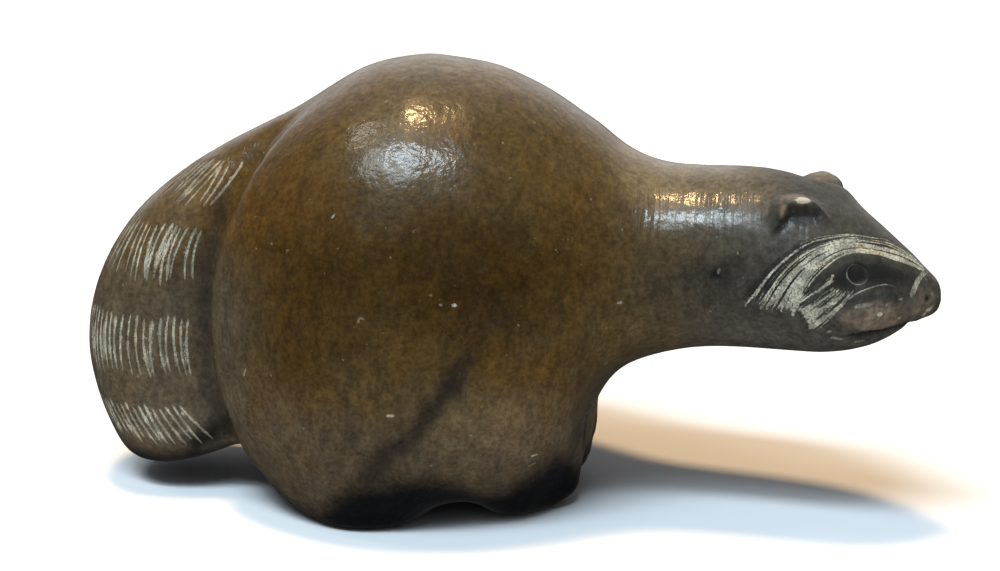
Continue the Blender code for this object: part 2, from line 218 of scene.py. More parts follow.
# --- The tail: its middle line as distance ahead of the rear and height, and the four hatched bands ---
TAIL_LINE = (
    (44.3, 54), (34.1, 48), (24.4, 42.1), (17.9, 36), (13.4, 29), (11.5, 21), (13.1, 12.6), (17.7, 3.6),
)
Band = namedtuple("Band", "top bottom start spacing twist lean")
BANDS = (  # heights, first line's angle, space between lines, how far they turn and how far outer ones lean
    Band(49.7, 44.1, 57, 0.82, -34, 0),
    Band(40.9, 33.1, 5, 1.12, -27, 0),
    Band(27.8, 18.9, -30, 1.08, -6, 0),
    Band(14, 8.4, -24, 1.08, -3, -11),
)
BACK = 90  # the angle of the tail's back. Its right side is at 0
TWIST_FADE = 35  # degrees from the back over which a band's twist turns to the other hand
LEAN_FADE = 25  # degrees from the crease over which a line leans less
TAIL_SLANT = 1.2  # degrees by which a line's slant strays
TAIL_TOPS, TAIL_ENDS = (-0.4, 0.4), (-0.7, 0.5)
DOUBLES, DOUBLE_TURN, DOUBLE_START, DOUBLE_END = 0.09, (1.6, 2.4), (0, 0.4), 0.9  # a line gone over twice
TAIL_FADED_FROM, TAIL_FADE = 83, 8  # the top band is rubbed off beyond this angle
TAIL_WORN = 0.45  # the share of the powder rubbed off along the back of the tail

# --- The scratched lines ---
Line = namedtuple("Line", "points half depth chalk")
LINE_HALF = 0.19
LINE_DEPTH = 0.13
HAND_HALF, HAND_DEPTH, HAND_CHALK, HAND_SPACING = (0.82, 1.18), (0.75, 1.2), (0.8, 1), (0.84, 1.16)
GUIDE_POINTS, LINE_POINTS, NICK_POINTS = 140, 24, 8
SAMPLE_STEP, FEWEST_SAMPLES = 0.1, 4
START_TAPER, END_TAPER, TAPER_POWER = 0.08, 0.28, 0.6
END_HALF, END_CHALK = 0.35, 0.25  # what is left of a line's width and powder at its very end
TREMBLE, TREMBLES, TREMBLE_LIMITS = 0.18, 9, (0.6, 1.5)
LINE_FAR = 3  # the value of "gap" where no line is near
CUT_SPREAD = 1.15
SOLE = 0.05  # below this height the skin stays flat

# --- How high the near black painted shade under the feet reaches, as distance ahead of the rear and height ---
UNDER_SHADE_REACH = (
    (0, 6.5), (22, 6.5), (30, 4.5), (36.8, 2.5), (39.8, 3), (42.6, 6), (45.7, 8.5), (52, 9.5), (55, 9.5),
    (58, 8.5), (60, 7), (62.4, 5.3), (65, 5), (67.5, 6.5), (70.4, 8), (72.5, 9.5), (74, 7), (75.5, 4.5),
    (78, 3.5),
)
UNDER_SHADE_SOFTNESS = 6

# --- Lighter and darker areas, painted light and shade on the flanks and partly the stone's own tone: place ahead of the rear, size and share as a power of two ---
LIGHT_AND_TONE_PATCHES = [Patch(*row) for row in (
    ((41.4, -26.9, 37.4), (14, 17, 11), -0.6), ((61.8, -25.4, 40.6), (14, 17, 11), -0.9),
    ((38.7, -26.2, 17.1), (14, 14, 7), 0.2), ((66.5, -23.8, 18.2), (9, 12, 8), 0.95),
    ((76.1, -18.5, 31.5), (8, 10, 8), 0.4), ((93.8, -13.2, 29), (14, 10, 4.5), 0.5),
    ((104.9, -15, 28.8), (12, 10, 4.5), 0.4), ((14.6, -12.3, 16.5), (14, 16, 9), 0.35),
    ((15.3, -10.8, 6), (14, 16, 6), 0.4), ((20, -9, 45), (12, 12, 7), 0.35),
    ((60, 0, 64), (24, 12, 6), 0.7), ((76.5, -3.5, 8), (2.5, 3, 8), 1.2),
    ((52, -27.8, 29), (9, 14, 7), 0.5), ((72, -15, 49), (8, 10, 7), 0.3),
)]
WARM = [Patch(*row) for row in (  # places where the stone is redder
    ((38.5, -25.5, 40), (10, 14, 10), 0.2), ((61.8, -25.4, 40.6), (10, 14, 8), 0.2),
    ((76.1, -18.5, 31.5), (7, 10, 7), 0.12),
)]

# --- Nicks: place, length, slant in the side view, half width and chalk ---
Nick = namedtuple("Nick", "place length slant half chalk")
BODY_NICKS = [Nick(*row) for row in (
    ((42.9, -24.2, 46.5), 0.9, 60, 0.8, 1), ((58.1, -27.3, 35.4), 0.5, 20, 1.3, 0.9),
    ((59.9, -26.9, 35.3), 0.8, -20, 1.5, 1), ((81.4, -15.7, 33.4), 1, 0, 1, 0.9),
    ((51.2, -28.2, 19.6), 1.2, 5, 1.4, 0.9), ((69.9, -18.6, 11.4), 1.9, -12, 0.8, 1),
    ((69.5, -18.2, 9.9), 1.6, 4, 0.8, 0.7), ((63.7, -24.7, 19.6), 0.3, 0, 1, 0.7),
    ((29.1, -21.4, 22.8), 1.7, 60, 0.8, 0.5), ((71, -5.2, 58.3), 1, 30, 0.8, 0.5),
    ((62, -25, 16), 0.6, 10, 1, 0.7),
)]
FACE_NICKS = [Nick(*row) for row in (
    ((8.6, -16.2, 33.3), 0.5, 20, 1.7, 1), ((7.6, -15.8, 34.5), 0.6, 30, 1.2, 0.8),
    ((5.9, -14.5, 32.4), 0.5, 60, 1.1, 0.8), ((5.7, -15, 35.2), 0.9, 10, 0.8, 0.6),
    ((2.2, -10.9, 32.9), 2, 28, 3, 0.8), ((2.3, -11.1, 37.1), 0.5, 0, 1.4, 0.5),
    ((1.4, -11.2, 35.1), 0.6, 80, 1.2, 0.4), ((10.7, -17.1, 34.6), 2.8, 8, 1.8, 0.6),
    ((15.2, -16.2, 30.6), 0.7, 30, 1.2, 0.8), ((30.6, -15.5, 38.3), 1, 70, 0.9, 0.6),
    ((14, -15.4, 29.4), 2.2, -22, 0.9, 0.6), ((11.1, -14.5, 28.9), 1.6, 6, 0.9, 0.5),
    ((21.9, -16.6, 34), 0.6, 60, 2.2, 1), ((20.4, -16.9, 33.8), 0.8, 60, 2.4, 1),
    ((18.1, -16.9, 32.9), 1.2, 60, 2.2, 0.9),
)]
PIT = (31, -15.5, 37.7)
PIT_SIZE, PIT_DEPTH = 0.9, 0.4

# --- Hand polishing ---
WOBBLE, WOBBLE_SIZE = 0.07, 9
RIPPLE, RIPPLE_SIZE = 0.018, 2.6

SEED = 11
dice = np.random.default_rng(SEED)


# ---------------------------------------- numbers


def ahead(points):
    """Places given as a distance ahead of the rear of the box, as coordinates."""
    return np.array(points, float) + (REAR, 0, 0)


def behind_nose(points):
    """Places given as a distance behind the nose tip, as coordinates."""
    return np.array(points, float) * (-1, 1, 1) + (NOSE_TIP, 0, 0)


def mirrored(points, ahead_by=0.0):
    """The same places on the other side of the turned head."""
    points = np.array(points, float)
    turn = HEAD_TURN_OFFSET + HEAD_TURN_RATE * (points[..., 0] + ahead_by / 2 - (NOSE_TIP - HEAD_TURN_START))
    other = points.copy()
    other[..., 0] += ahead_by
    other[..., 1] = -2 * np.maximum(turn, 0) - points[..., 1]
    return other


def curve(knots, count):
    """A smooth run of points through knots, evenly spaced along each span."""
    knots = np.array(knots, float)
    padded = np.vstack([2 * knots[0] - knots[1], knots, 2 * knots[-1] - knots[-2]])
    t = np.linspace(0, len(knots) - 1, count)
    i = np.minimum(t.astype(int), len(knots) - 2)
    f = (t - i)[:, None]
    a, b, c, d = (padded[i + k] for k in range(4))
    return 0.5 * (2 * b + (c - a) * f + (2 * a - 5 * b + 4 * c - d) * f**2 + (3 * b - a - 3 * c + d) * f**3)


def as_given(points):
    """Places on the right side, where they were measured."""
    return points


BOTH_SIDES = (as_given, mirrored)


def distances(points, places):
    """How far each point is from one place, or from its own."""
    return np.linalg.norm(points - places, axis=1)


def bump(distance, width):
    """1 at no distance, falling to nothing beyond a width."""
    return np.exp(-((distance / width) ** 2))


def dent(points, centre, size):
    """1 at the middle of an ellipsoid, falling to nothing outside it."""
    return np.exp(-(((points - centre) / np.array(size)) ** 2).sum(1))


def smooth(share):
    share = np.clip(share, 0, 1)
    return share * share * (3 - 2 * share)


def step(distance, width, share=0.5):
    """From 0 to 1 across a width, with a share of the width on the negative side."""
    return smooth(distance / width + share)


def gap_from(places, line):
    """Distance of each place in a plane from a run of straight pieces."""
    line = np.array(line, float)
    gap = np.full(len(places), np.inf)
    for a, b in zip(line[:-1], line[1:]):
        along = np.clip((places - a) @ (b - a) / ((b - a) @ (b - a)), 0, 1)
        gap = np.minimum(gap, distances(places - a, along[:, None] * (b - a)))
    return gap


def inside(places, outline):
    """How far each place in a plane is inside a closed outline. It is negative outside."""
    outline = np.array(outline + outline[:1], float)
    gap = gap_from(places, outline)
    within = np.zeros(len(places), bool)
    for a, b in zip(outline[:-1], outline[1:]):
        rows = (a[1] > places[:, 1]) != (b[1] > places[:, 1])
        if rows.any():
            crossing = a[0] + (places[:, 1] - a[1]) * (b[0] - a[0]) / (b[1] - a[1])
            within ^= rows & (places[:, 0] < crossing)
    return np.where(within, gap, -gap)


# ---------------------------------------- the skin


def values(mesh, name):
    flat = np.empty(len(mesh.vertices) * 3)
    mesh.vertices.foreach_get(name, flat)
    return flat.reshape(-1, 3)


def set_points(mesh, points):
    mesh.vertices.foreach_set("co", (points * MM).ravel())
    mesh.update()


def edge_ends(mesh):
    ends = np.empty(len(mesh.edges) * 2, np.int32)
    mesh.edges.foreach_get("vertices", ends)
    return ends.reshape(-1, 2)


def rub_down(mesh, rounds, share=1.0):
    """Smooths the mesh without shrinking it. share says how much of it each vertex takes."""
    a, b = edge_ends(mesh).T
    points = values(mesh, "co") / MM
    size = len(points)
    count = np.bincount(np.concatenate([a, b]), minlength=size)[:, None]
    share = np.broadcast_to(np.asarray(share, float), (size,))[:, None]
    for _ in range(rounds):
        for factor in (RUB, -UNRUB):
            total = np.stack([np.bincount(a, points[b, k], size) + np.bincount(b, points[a, k], size)
                              for k in range(3)], axis=1)
            points = points + factor * share * (total / count - points)
    set_points(mesh, points)


def small_form_share(points):
    """Full smoothing on the body, less on the small round forms of the head."""
    head = np.clip((points[:, 0] - HEAD_START) / HEAD_FADE, 0, 1)
    return 1 - (1 - SMALL_FORM_SHARE) * head


def triangulate(mesh):
    work = bmesh.new()
    work.from_mesh(mesh)
    bmesh.ops.triangulate(work, faces=work.faces)
    work.to_mesh(mesh)
    work.free()


def added(name, data):
    """A new object in the scene."""
    obj = bpy.data.objects.new(name, data)
    bpy.context.scene.collection.objects.link(obj)
    return obj


def even_skin(name):
    """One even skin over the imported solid."""
    obj = added(name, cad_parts[NODE].data.copy())
    remesh = obj.modifiers.new("even skin", "REMESH")
    remesh.mode = "VOXEL"
    remesh.voxel_size = SKIN_VOXEL * MM
    graph = bpy.context.evaluated_depsgraph_get()
    obj.data = bpy.data.meshes.new_from_object(obj.evaluated_get(graph))
    obj.modifiers.clear()
    obj.data.name = name
    rub_down(obj.data, SKIN_ROUNDS, small_form_share(values(obj.data, "co") / MM))
    triangulate(obj.data)
    return obj


def split_long_edges(mesh, wanted):
    """Splits the edges that are much longer than wanted(points), until none is."""
    for _ in range(SPLITS):
        a, b = edge_ends(mesh).T
        points = values(mesh, "co") / MM
        length = distances(points[a], points[b])
        suspects = np.nonzero(length > LINE_EDGE * TOO_LONG)[0]
        middle = (points[a[suspects]] + points[b[suspects]]) / 2
        long = suspects[length[suspects] > TOO_LONG * wanted(middle)]
        if not len(long):
            break
        work = bmesh.new()
        work.from_mesh(mesh)
        work.edges.ensure_lookup_table()
        bmesh.ops.subdivide_edges(work, edges=[work.edges[i] for i in long], cuts=1, use_grid_fill=True)
        crowded = [f for f in work.faces if len(f.verts) > 3]
        bmesh.ops.triangulate(work, faces=crowded, quad_method="BEAUTY", ngon_method="BEAUTY")
        work.to_mesh(mesh)
        work.free()
        rub_down(mesh, RELAX_ROUNDS)


def head_edge(points):
    """How long an edge may be on the head, before any line is cut."""
    wanted = np.full(len(points), BODY_EDGE)
    wanted[points[:, 0] > HEAD_START] = HEAD_EDGE
    for seat in ear_seats():
        wanted[distances(points, seat) < EAR_REACH] = EAR_EDGE
    return wanted


def edge_near(line_tree):
    """How long an edge may be, given the lines to be cut."""
    def wanted(points):
        return np.where(nearest(line_tree, points)[1] < LINE_REACH, LINE_EDGE, head_edge(points))
    return wanted


def ear_seats():
    """The right ear's seat and the left one's."""
    right = behind_nose(EAR_SEAT)
    return right, mirrored(right, EAR_STAGGER)


def seat_axes(points, normals, seat):
    """The forward, upward and outward directions of the head's side at a place on it."""
    near = distances(points, seat) < EAR_RING[1]
    outward = normals[near].mean(0)
    outward /= np.linalg.norm(outward)
    forward = np.array([1.0, 0, 0]) - outward[0] * outward
    forward /= np.linalg.norm(forward)
    upward = np.cross(outward, forward)
    return np.array([forward, upward * np.sign(upward[2]), outward])


def bowl_terms(u, v):
    """The terms of a shallow bowl's height over a plane."""
    return np.stack([np.ones_like(u), u, v, u * u, u * v, v * v], axis=1)


def ear_hollow(points, ears):
    """How much shade is painted in the hollow under each ear's rim."""
    shade = np.zeros(len(points))
    for seat, axes in ears:
        near = distances(points, seat) < EAR_REACH
        places = (points[near] - seat) @ axes[:2].T
        within = inside(places, EAR_WALL + EAR_OPEN_SIDE)
        dark = step(within, EAR_WALL_SLOPE, EAR_HOLLOW_SPREAD) * bump(gap_from(places, EAR_WALL), EAR_HOLLOW)
        shade[near] = np.maximum(shade[near], EAR_HOLLOW_SHADE * dark)
    return shade


def shape_ear(points, seat, axes):
    """Cuts away the front of the ear down to the head, and leaves its rim standing."""
    u, v, height = ((points - seat) @ axes.T).T
    reach = np.hypot(u, v)
    ring = (reach > EAR_RING[0]) & (reach < EAR_RING[1]) & (np.abs(height) < EAR_REACH)
    bowl = np.linalg.lstsq(bowl_terms(u[ring], v[ring]), height[ring], rcond=None)[0]
    near = (reach < EAR_REACH) & (np.abs(height) < EAR_REACH)
    u, v, height, reach = u[near], v[near], height[near], reach[near]
    places = np.stack([u, v], axis=1)
    ear = np.maximum(height - bowl_terms(u, v) @ bowl, 0)
    within = inside(places, EAR_WALL + EAR_OPEN_SIDE)
    open_side = gap_from(places, EAR_WALL[-1:] + EAR_OPEN_SIDE + EAR_WALL[:1])
    cut = ear * step(within, EAR_WALL_SLOPE) * smooth(open_side / EAR_OPEN_SLOPE)
    rim = EAR_RIM * bump(gap_from(places, EAR_WALL) - EAR_RIM_PLACE, EAR_RIM_WIDTH) * (within < 0)
    points[near] += ((rim - cut) * smooth(EAR_REACH - reach))[:, None] * axes[2]


def shape_forms(mesh):
    """Pushes the softer forms into place, then cuts the ears out."""
    points = values(mesh, "co") / MM
    for push in HEAD_PUSHES:
        points += dent(points, behind_nose(push.place), push.size)[:, None] * push.move
    points += dent(points, ahead(FORELEG_PUSH.place), FORELEG_PUSH.size)[:, None] * FORELEG_PUSH.move
    unsided = np.abs(points) * (0, 1, 1) + points * (1, 0, 0)
    for push in SIDE_PUSHES:
        points += dent(unsided, ahead(push.place), push.size)[:, None] * push.move
    points[:, 2] = np.maximum(points[:, 2], 0)
    normals = values(mesh, "normal")
    ears = [(seat, seat_axes(points, normals, seat)) for seat in ear_seats()]
    for seat, axes in ears:
        shape_ear(points, seat, axes)
    set_points(mesh, points)
    return ears


def surface(mesh):
    """The mesh as a tree to cast rays at and to find nearest places on."""
    points = [v.co / MM for v in mesh.vertices]
    return BVHTree.FromPolygons(points, [p.vertices[:] for p in mesh.polygons])


def snapped(tree, points):
    """Points moved to the nearest place on the skin."""
    return np.array([tree.find_nearest(Vector(p))[0] for p in points])


# ---------------------------------------- lines


def length_along(points):
    """The length of a run up to each of its points."""
    return np.concatenate([[0], np.cumsum(distances(points[1:], points[:-1]))])


def stretch(points, start, end):
    """The part of a run of points between two shares of it."""
    first, last = int(start * (len(points) - 1)), int(end * (len(points) - 1))
    return points[first : last + 1]


def drawn(tree, points, half=1.0, depth=1.0, chalk=1.0):
    """A line on the skin, with shares of the full half width, depth and powder, that vary as a hand's do."""
    half = np.broadcast_to(half, len(points)) * LINE_HALF * dice.uniform(*HAND_HALF)
    chalk = np.broadcast_to(chalk, len(points)) * dice.uniform(*HAND_CHALK)
    return Line(snapped(tree, points), half, depth * LINE_DEPTH * dice.uniform(*HAND_DEPTH), chalk)


def tail_middle(height):
    """The x of the tail's middle line at a height."""
    line = curve(ahead([(x, 0, z) for x, z in TAIL_LINE])[::-1], GUIDE_POINTS)
    return np.interp(height, line[:, 2], line[:, 0])


def tail_point(tree, angle, height):
    """The skin of the tail at a height and at an angle round it: 0 is its right side, 90 its back."""
    origin = Vector((tail_middle(height), 0, height))
    direction = Vector((-sin(radians(angle)), -cos(radians(angle)), 0))
    return np.array(tree.ray_cast(origin, direction)[0])


def tail_angles(tree, band):
    """Angles that are evenly spaced along the skin, but for a hand's unevenness."""
    angles = np.arange(band.start, 2 * BACK - band.start, 1.0)
    ring = np.array([tail_point(tree, angle, (band.top + band.bottom) / 2) for angle in angles])
    along = length_along(ring)
    at = np.cumsum(band.spacing * dice.uniform(*HAND_SPACING, int(2 * along[-1] / band.spacing)))
    return np.interp(at[at < along[-1]], along, angles)


def tail_line(tree, angle, band):
    """One line of a band, from its top to its bottom."""
    side = np.clip((BACK - angle) / TWIST_FADE, -1, 1)
    turned = (angle - band.start, 2 * BACK - band.start - angle)
    right, left = (np.clip(1 - turn / LEAN_FADE, 0, 1) for turn in turned)
    twist = band.twist * side + band.lean * (right - left) + dice.normal() * TAIL_SLANT
    top = band.top + dice.uniform(*TAIL_TOPS)
    bottom = band.bottom + dice.uniform(*TAIL_ENDS)
    down = np.linspace(0, 1, LINE_POINTS)
    return np.array([tail_point(tree, angle + twist * t, top + (bottom - top) * t) for t in down])


def tail_lines(tree):
    """The lines of the tail's bands, which are rubbed fainter along its back."""
    lines = []
    for band in BANDS:
        for angle in tail_angles(tree, band):
            chalk = 1 - TAIL_WORN * bump(angle - BACK, TWIST_FADE)
            if band is BANDS[0]:
                chalk *= 1 - step(BACK - TAIL_FADED_FROM - abs(BACK - angle), TAIL_FADE, 1.0)
            lines.append(drawn(tree, tail_line(tree, angle, band), chalk=chalk))
            if dice.random() < DOUBLES:
                again = tail_line(tree, angle + dice.uniform(*DOUBLE_TURN), band)
                part = stretch(again, dice.uniform(*DOUBLE_START), DOUBLE_END)
                lines.append(drawn(tree, part, half=0.7, depth=0.8, chalk=0.8 * chalk))
    return lines


def brow_lines(tree, on_side):
    """The long lines that sweep from the cheek over the eye to the nose."""
    outer, inner = (curve(behind_nose(guide), GUIDE_POINTS) for guide in (BROW_OUTER, BROW_INNER))
    space = distances(outer, inner)
    along = np.linspace(0, 1, GUIDE_POINTS)
    lines = []
    for stroke in BROW:
        wander = np.interp(along, np.linspace(0, 1, BROW_WANDERS), dice.normal(size=BROW_WANDERS))
        share = (stroke.share + BROW_WANDER * wander)[:, None]
        run = outer * (1 - share) + inner * share
        half = np.clip(stroke.width * BROW_PITCH * space, *BROW_HALVES) / LINE_HALF
        run, half = (stretch(each, stroke.start, stroke.end) for each in (run, half))
        lines.append(drawn(tree, on_side(run), half, depth=0.8, chalk=0))
    return lines


def cheek_lines(tree, on_side):
    """The shorter lines that run from below the eye down the cheek."""
    lines = []
    tops, ends = (curve(behind_nose(knots), CHEEK_LINES) for knots in (CHEEK_TOPS, CHEEK_ENDS))
    for top, end in zip(tops, ends):
        down = np.linspace(dice.uniform(*CHEEK_STARTS), dice.uniform(*CHEEK_STOPS), LINE_POINTS)
        run = top + (end - top) * down[:, None]
        lines.append(drawn(tree, on_side(run), dice.uniform(*CHEEK_HALVES), depth=0.7, chalk=0))
    return lines


def eye_lines(tree, on_side):
    """The thin ring scratched round the eye, the line below the eye and the lines beside the nose."""
    centre = on_side(behind_nose(EYE))
    turns = np.linspace(0, 2 * pi, RING_POINTS)
    ring = [centre + EYE_SCRATCH * np.array([cos(t), 0, sin(t)]) for t in turns]
    chalk = RING_CHALK + RING_CHALK_SWING * np.cos(turns - RING_CHALK_TURN)
    lines = [drawn(tree, ring, half=0.55, depth=0.5, chalk=chalk)]
    under = on_side(curve(behind_nose(UNDER_EYE), UNDER_EYE_POINTS))
    chalk = np.linspace(*UNDER_EYE_CHALK, UNDER_EYE_POINTS)
    lines.append(drawn(tree, under, half=0.6, depth=0.8, chalk=chalk))
    for offset in BRIDGE_OFFSETS:
        bridge = on_side(curve(behind_nose(BRIDGE), LINE_POINTS) - (offset, 0, 0))
        chalk = np.linspace(*BRIDGE_CHALK, LINE_POINTS)
        lines.append(drawn(tree, bridge, half=0.5, depth=0.8, chalk=chalk))
    return lines


def face_lines(tree):
    parts = (brow_lines, cheek_lines, eye_lines)
    return [line for on_side in BOTH_SIDES for part in parts for line in part(tree, on_side)]


def nick_lines(tree):
    """The small nicks, which are very short lines."""
    lines = []
    for nicks, measured in ((BODY_NICKS, ahead), (FACE_NICKS, behind_nose)):
        for nick in nicks:
            way = np.array([cos(radians(nick.slant)), 0, sin(radians(nick.slant))])
            along = np.linspace(0, 1, NICK_POINTS)
            run = [measured(nick.place) + way * nick.length * (t - 0.5) for t in along]
            lines.append(drawn(tree, run, nick.half, depth=0.9, chalk=nick.chalk))
    return lines


def line_samples(lines):
    """Closely spaced points along every line: place, direction, half width, depth and chalk, all tapered."""
    rows = []
    for line in lines:
        along = length_along(line.points)
        at = np.linspace(0, along[-1], max(FEWEST_SAMPLES, int(along[-1] / SAMPLE_STEP)))
        places = np.stack([np.interp(at, along, line.points[:, k]) for k in range(3)], axis=1)
        share = at / along[-1]
        taper = np.clip(np.minimum(share / START_TAPER, (1 - share) / END_TAPER), 0, 1) ** TAPER_POWER
        tremble = 1 + TREMBLE * np.interp(at, np.linspace(0, along[-1], TREMBLES), dice.normal(size=TREMBLES))
        half = np.interp(at, along, line.half) * (END_HALF + (1 - END_HALF) * taper)
        half *= np.clip(tremble, *TREMBLE_LIMITS)
        chalk = np.interp(at, along, line.chalk) * (END_CHALK + (1 - END_CHALK) * taper)
        rows.append(np.column_stack([places, np.gradient(places, axis=0), half, line.depth * taper, chalk]))
    return np.vstack(rows)


def tree_of(places):
    """The places as a tree that finds the nearest of them."""
    tree = KDTree(len(places))
    for i, place in enumerate(places):
        tree.insert(Vector(place), i)
    tree.balance()
    return tree


def nearest(tree, points):
    """For each point, the index of the nearest place in a tree and its distance."""
    found = [tree.find(Vector(p))[1:] for p in points]
    return np.array([index for index, _ in found], int), np.array([distance for _, distance in found])


# ---------------------------------------- carving


def nearest_on(run, points, reach):
    """Distance of each point from a run of points, endless beyond reach, and which of them is nearest."""
    low, high = run[:, :3].min(0) - reach, run[:, :3].max(0) + reach
    near = np.nonzero(((points > low) & (points < high)).all(1))[0]
    distance, index = np.full(len(points), np.inf), np.zeros(len(points), int)
    gaps = np.linalg.norm(points[near, None, :] - run[None, :, :3], axis=2)
    distance[near], index[near] = gaps.min(1), gaps.argmin(1)
    return distance, index


def groove_runs():
    """Every groove as the animal has it, on the right and on the left: places and shares of its depth."""
    for some, measured, other_side in (
        (BODY_GROOVES, ahead, lambda places: places * (1, -1, 1)),
        (FACE_GROOVES, behind_nose, mirrored),
        (EAR_GROOVES, behind_nose, lambda places: mirrored(places, EAR_STAGGER)),
    ):
        for groove in some:
            path = np.array(groove.path)
            right = measured(path[:, :3])
            for places in (right, other_side(right)):
                yield groove, np.column_stack([places, path[:, 3]])


def grooves(points, tree):
    """How deep the grooves are, and how much shade is painted round them."""
    sink, shade = np.zeros(len(points)), np.zeros(len(points))
    for groove, path in groove_runs():
        run = curve(path, GROOVE_POINTS)
        run[:, :3] = snapped(tree, run[:, :3])
        distance, index = nearest_on(run, points, 3 * max(groove.width, groove.shade_width))
        share = np.clip(run[index, 3], 0, 1)
        sink = np.maximum(sink, groove.depth * share * bump(distance, groove.width))
        shade = np.maximum(shade, groove.shade * share * bump(distance, groove.shade_width))
    return sink, shade


def carve_eye(points, tree, centre):
    """A shallow socket with a ring and a drilled pupil in it, and painted shade inside the ring."""
    centre = snapped(tree, [centre])[0]
    distance = distances(points, centre)
    sink = SOCKET_DEPTH * bump(distance, SOCKET)
    sink += EYE_RING_DEPTH * bump(distance - EYE_RING, EYE_RING_WIDTH)
    return sink + EYE_PUPIL_DEPTH * bump(distance, EYE_PUPIL), bump(distance, EYE_RING)


def carve_mouth(points, tree, on_side):
    """The lip hangs over a shelf that runs back along the jaw, with painted shade on the shelf."""
    run = snapped(tree, curve(on_side(behind_nose(MOUTH)), MOUTH_POINTS))
    distance, index = nearest_on(run, points, 3 * LIP)
    below = step(run[index, 2] - points[:, 2], LIP_EDGE) * bump(distance, LIP)
    return MOUTH_DEPTH * below, MOUTH_SHADE * below


def carve_head(points, tree):
    """How deep the eyes, mouth and nostrils are, and how much shade is painted in them."""
    sink, shade = np.zeros(len(points)), np.zeros(len(points))
    for on_side in BOTH_SIDES:
        eye, eye_shade = carve_eye(points, tree, on_side(behind_nose(EYE)))
        mouth, mouth_shade = carve_mouth(points, tree, on_side)
        nostril = snapped(tree, [on_side(behind_nose(NOSTRIL))])[0]
        hole = bump(distances(points, nostril), NOSTRIL_SIZE)
        pad = PAD_HEIGHT * dent(points, on_side(behind_nose(PAD)), PAD_SIZE)
        sink += eye + mouth + NOSTRIL_DEPTH * hole - pad
        shade = np.maximum.reduce([shade, eye_shade, mouth_shade, hole])
    return sink, shade


def polish(points):
    """The slight unevenness of stone rubbed by hand."""
    return np.array([WOBBLE * noise.noise(p / WOBBLE_SIZE) + RIPPLE * noise.noise(p / RIPPLE_SIZE)
                     for p in map(Vector, points)])


def line_values(points, normals, samples):
    """For each point: the nearest line's distance in half widths, the same signed by side, cut and chalk."""
    index, distance = nearest(tree_of(samples[:, :3]), points)
    place, way, half, depth, chalk = np.split(samples[index], [3, 6, 7, 8], axis=1)
    gap = np.minimum(distance / half[:, 0], LINE_FAR)
    side = np.where((np.cross(points - place, way) * normals).sum(1) < 0, -1, 1)
    near = distance < LINE_REACH
    gap[~near] = LINE_FAR
    return gap, side * gap, depth[:, 0] * near * bump(gap, CUT_SPREAD), chalk[:, 0] * near


def head_patches(points, patches, ear_patches):
    """Wear, chips and painted light on the head: patches on both sides of it and patches on each ear."""
    placed = [(on_side(behind_nose(patch.place)), patch) for on_side in BOTH_SIDES for patch in patches]
    for seat, side in zip(ear_seats(), (1, -1)):
        placed += [(seat + np.multiply(patch.place, (1, side, 1)), patch) for patch in ear_patches]
    return np.maximum.reduce([patch.share * dent(points, place, patch.size) for place, patch in placed])


def patched(points, patches):
    """The sum of some soft patches on both sides of the body. One in the middle counts once."""
    tone = np.zeros(len(points))
    for patch in patches:
        place = ahead(patch.place)
        for side in (1, -1):
            tone += patch.share * dent(points, place * (1, side, 1), patch.size) / (2 if place[1] == 0 else 1)
    return tone


def mask_lane(across):
    """A run at a share of the way from the mask's outer guide to its inner one."""
    outer, inner = (curve(behind_nose(guide), MASK_POINTS) for guide in (BROW_OUTER, BROW_INNER))
    return outer * (1 - across) + inner * across


def cheek_lane(across):
    """A run at a share of the way across the lines on the cheek."""
    ends = []
    for knots in (CHEEK_TOPS, CHEEK_ENDS):
        shares = np.linspace(0, 1, len(knots))
        ends.append(np.array([np.interp(across, shares, column) for column in behind_nose(knots).T]))
    top, end = ends
    down = np.linspace(0, 1, CHEEK_POINTS) * CHEEK_LONGER - CHEEK_ABOVE
    return top + (end - top) * down[:, None]


def band_lanes(tree, lane):
    """Closely spaced points over a band of strokes: place, share of the way along and share across."""
    rows = []
    for across in np.linspace(-BAND_MARGIN, 1 + BAND_MARGIN, BAND_LANES):
        run = lane(across)
        rows.append(np.column_stack([run, np.linspace(0, 1, len(run)), np.full(len(run), across)]))
    right = np.vstack(rows)
    left = right.copy()
    left[:, :3] = mirrored(right[:, :3])
    both = np.vstack([right, left])
    both[:, :3] = snapped(tree, both[:, :3])
    return both


def band_place(points, lanes):
    """Whether each point is in a band, and how far along and across it."""
    index, distance = nearest(tree_of(lanes[:, :3]), points)
    return distance < BAND_REACH, lanes[index, 3], lanes[index, 4]


def attribute(mesh, name, numbers):
    """Keeps a number for each vertex on the mesh."""
    layer = mesh.attributes.new(name, "FLOAT", "POINT")
    layer.data.foreach_set("value", np.asarray(numbers, np.float32))


